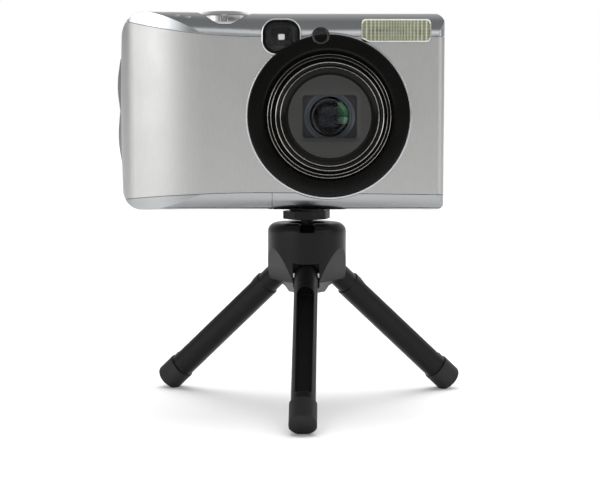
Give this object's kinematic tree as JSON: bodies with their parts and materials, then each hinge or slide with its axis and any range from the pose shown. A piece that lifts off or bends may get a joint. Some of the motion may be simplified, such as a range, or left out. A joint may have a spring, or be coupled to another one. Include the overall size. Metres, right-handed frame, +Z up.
{
  "type": "compact camera on tabletop tripod",
  "caption": "Slim silver pocket camera with its zoom lens run out, on a small black folding tripod with a ball head and lock nut.",
  "frame": {"origin": "on the floor, at the middle of the whole object's footprint box", "axes": "+Z up, -Y the way the lens looks, +X to the right of someone facing the lens"},
  "size_m": [0.1035, 0.0837, 0.1159],
  "materials": {
    "satin_silver": "satin blasted and lacquered",
    "bright_silver": "bright plated",
    "back_silver": "satin paint",
    "black_gloss": "polished black",
    "black_satin": "satin black",
    "grey_matte": "fine matte",
    "barrel_black": "black anodised",
    "clear_glass": "coated",
    "flash_lens": "ribbed",
    "dark_screen": "polished",
    "tripod_black": "satin moulded",
    "foot_rubber": "matt",
    "steel": "plated",
    "circuit_green": "solder mask",
    "battery_grey": "moulded"
  },
  "bodies": {
    "tripod_hub": {"tripod_hub": "tripod_black", "leg_pins": "steel"},
    "front_leg": {"front_leg": "tripod_black", "front_foot": "foot_rubber"},
    "right_leg": {"right_leg": "tripod_black", "right_foot": "foot_rubber"},
    "left_leg": {"left_leg": "tripod_black", "left_foot": "foot_rubber"},
    "ball_liner": {"ball_liner": "tripod_black"},
    "ball": {"mount_ball": "tripod_black", "mount_screw": "steel", "mount_pad": "foot_rubber"},
    "lock_nut": {"lock_nut": "tripod_black"},
    "camera": {"front_plate": "satin_silver", "top_cover": "bright_silver", "bottom_cover": "bright_silver", "right_trim": "bright_silver", "left_trim": "bright_silver", "rear_cover": "back_silver", "usb_socket": "black_satin", "case_screws": "steel", "lens_rim": "bright_silver", "lens_bezel": "black_gloss", "lens_housing": "black_satin", "image_sensor": "black_satin", "viewfinder_frame": "black_gloss", "viewfinder_window": "clear_glass", "viewfinder_eyepiece": "black_gloss", "focus_lamp": "black_gloss", "flash_window": "flash_lens", "flash_reflector": "steel", "screen_window": "dark_screen", "screen_panel": "black_satin", "battery": "battery_grey", "memory_card": "black_satin", "main_board": "circuit_green", "tripod_bush": "steel"},
    "outer_barrel": {"outer_barrel": "barrel_black"},
    "inner_barrel": {"inner_barrel": "barrel_black", "front_ring": "black_gloss", "barrier_frame": "grey_matte", "lens_cell": "black_satin", "front_lens": "clear_glass"},
    "upper_leaf_near": {"upper_leaf_near": "black_satin"},
    "upper_leaf_far": {"upper_leaf_far": "black_satin"},
    "lower_leaf_near": {"lower_leaf_near": "black_satin"},
    "lower_leaf_far": {"lower_leaf_far": "black_satin"},
    "zoom_ring": {"zoom_ring": "bright_silver"},
    "shutter_button": {"shutter_button": "bright_silver"},
    "power_button": {"power_button": "bright_silver"},
    "door_slide": {"door_hinge_pin": "steel"},
    "battery_door": {"battery_door": "bright_silver"},
    "port_cover": {"port_cover": "bright_silver"},
    "control_wheel": {"control_wheel": "back_silver"},
    "set_button": {"set_button": "back_silver"},
    "share_key": {"share_key": "back_silver"},
    "playback_key": {"playback_key": "back_silver"},
    "display_key": {"display_key": "back_silver"},
    "menu_key": {"menu_key": "back_silver"},
    "mode_switch": {"mode_switch": "black_gloss"}
  },
  "joints": [
    {"name": "front_leg_fold", "type": "hinge", "parent": "tripod_hub", "child": "front_leg", "pos_m": [0.00389, 0.00239, 0.0392], "axis": [0.9997, -0.0262, 0], "range_deg": [0, 48.8]},
    {"name": "right_leg_fold", "type": "hinge", "parent": "tripod_hub", "child": "right_leg", "pos_m": [0.01222, 0.01598, 0.0392], "axis": [-0.4772, 0.8788, 0], "range_deg": [0, 48.8]},
    {"name": "left_leg_fold", "type": "hinge", "parent": "tripod_hub", "child": "left_leg", "pos_m": [-0.00371, 0.0164, 0.0392], "axis": [-0.5225, -0.8526, 0], "range_deg": [0, 48.8]},
    {"name": "head_lean", "type": "hinge", "parent": "tripod_hub", "child": "ball_liner", "pos_m": [0.00413, 0.01159, 0.0484], "axis": [0, 1, 0], "range_deg": [-5, 5]},
    {"name": "head_tilt", "type": "hinge", "parent": "ball_liner", "child": "ball", "pos_m": [0.00413, 0.01159, 0.0484], "axis": [1, 0, 0], "range_deg": [-5, 5]},
    {"name": "nut_turn", "type": "hinge", "parent": "ball", "child": "lock_nut", "pos_m": [0.00413, 0.01159, 0.0548], "axis": [0, 0, 1], "range_deg": [0, 180]},
    {"name": "camera_pan", "type": "hinge", "parent": "ball", "child": "camera", "pos_m": [0.00413, 0.01159, 0.0581], "axis": [0, 0, 1], "continuous": true},
    {"name": "outer_barrel_retract", "type": "slide", "parent": "camera", "child": "outer_barrel", "axis": [0, 1, 0], "range_m": [0, 0.0085]},
    {"name": "inner_barrel_retract", "type": "slide", "parent": "outer_barrel", "child": "inner_barrel", "axis": [0, 1, 0], "range_m": [0, 0.0085]},
    {"name": "upper_leaf_near_close", "type": "slide", "parent": "inner_barrel", "child": "upper_leaf_near", "axis": [0, 0, -1], "range_m": [0, 0.003]},
    {"name": "upper_leaf_far_close", "type": "slide", "parent": "inner_barrel", "child": "upper_leaf_far", "axis": [0, 0, -1], "range_m": [0, 0.00596]},
    {"name": "lower_leaf_near_close", "type": "slide", "parent": "inner_barrel", "child": "lower_leaf_near", "axis": [0, 0, 1], "range_m": [0, 0.003]},
    {"name": "lower_leaf_far_close", "type": "slide", "parent": "inner_barrel", "child": "lower_leaf_far", "axis": [0, 0, 1], "range_m": [0, 0.00596]},
    {"name": "zoom_turn", "type": "hinge", "parent": "camera", "child": "zoom_ring", "pos_m": [-0.01972, 0.00889, 0.11565], "axis": [0, 0, 1], "range_deg": [-22, 22], "stiffness_Nm_per_rad": 0.02},
    {"name": "shutter_press", "type": "slide", "parent": "camera", "child": "shutter_button", "axis": [0, 0, -1], "range_m": [0, 0.0006], "stiffness_N_per_m": 1500, "springref_m": -0.0003},
    {"name": "power_press", "type": "slide", "parent": "camera", "child": "power_button", "axis": [0, 0, -1], "range_m": [0, 0.0004], "stiffness_N_per_m": 1500, "springref_m": -0.0003},
    {"name": "door_slide", "type": "slide", "parent": "camera", "child": "door_slide", "axis": [-1, 0, 0], "range_m": [0, 0.004]},
    {"name": "door_swing", "type": "hinge", "parent": "door_slide", "child": "battery_door", "pos_m": [-0.02587, 0.01619, 0.05925], "axis": [1, 0, 0], "range_deg": [0, 80.5]},
    {"name": "port_cover_swing", "type": "hinge", "parent": "camera", "child": "port_cover", "pos_m": [-0.05132, 0.01644, 0.0868], "axis": [0, 0, -1], "range_deg": [0, 100]},
    {"name": "wheel_spin", "type": "hinge", "parent": "camera", "child": "control_wheel", "pos_m": [-0.03037, 0.02459, 0.0791], "axis": [0, 1, 0], "continuous": true},
    {"name": "set_press", "type": "slide", "parent": "camera", "child": "set_button", "axis": [0, -1, 0], "range_m": [0, 0.0004], "stiffness_N_per_m": 1500, "springref_m": -0.0003},
    {"name": "share_key_press", "type": "slide", "parent": "camera", "child": "share_key", "axis": [0, -1, 0], "range_m": [0, 0.0004], "stiffness_N_per_m": 1500, "springref_m": -0.0003},
    {"name": "playback_key_press", "type": "slide", "parent": "camera", "child": "playback_key", "axis": [0, -1, 0], "range_m": [0, 0.0004], "stiffness_N_per_m": 1500, "springref_m": -0.0003},
    {"name": "display_key_press", "type": "slide", "parent": "camera", "child": "display_key", "axis": [0, -1, 0], "range_m": [0, 0.0004], "stiffness_N_per_m": 1500, "springref_m": -0.0003},
    {"name": "menu_key_press", "type": "slide", "parent": "camera", "child": "menu_key", "axis": [0, -1, 0], "range_m": [0, 0.0004], "stiffness_N_per_m": 1500, "springref_m": -0.0003},
    {"name": "mode_slide", "type": "slide", "parent": "camera", "child": "mode_switch", "axis": [1, 0, 0], "range_m": [-0.003, 0.003]}
  ],
  "couplings": [
    {"joint": "inner_barrel_retract", "follows": "outer_barrel_retract", "ratio": 1},
    {"joint": "door_swing", "follows": "door_slide", "rad_per_m": 349.07},
    {"joint": "upper_leaf_near_close", "follows": "outer_barrel_retract", "ratio": 0.35176},
    {"joint": "upper_leaf_far_close", "follows": "outer_barrel_retract", "ratio": 0.7},
    {"joint": "lower_leaf_near_close", "follows": "outer_barrel_retract", "ratio": 0.35176},
    {"joint": "lower_leaf_far_close", "follows": "outer_barrel_retract", "ratio": 0.7}
  ]
}
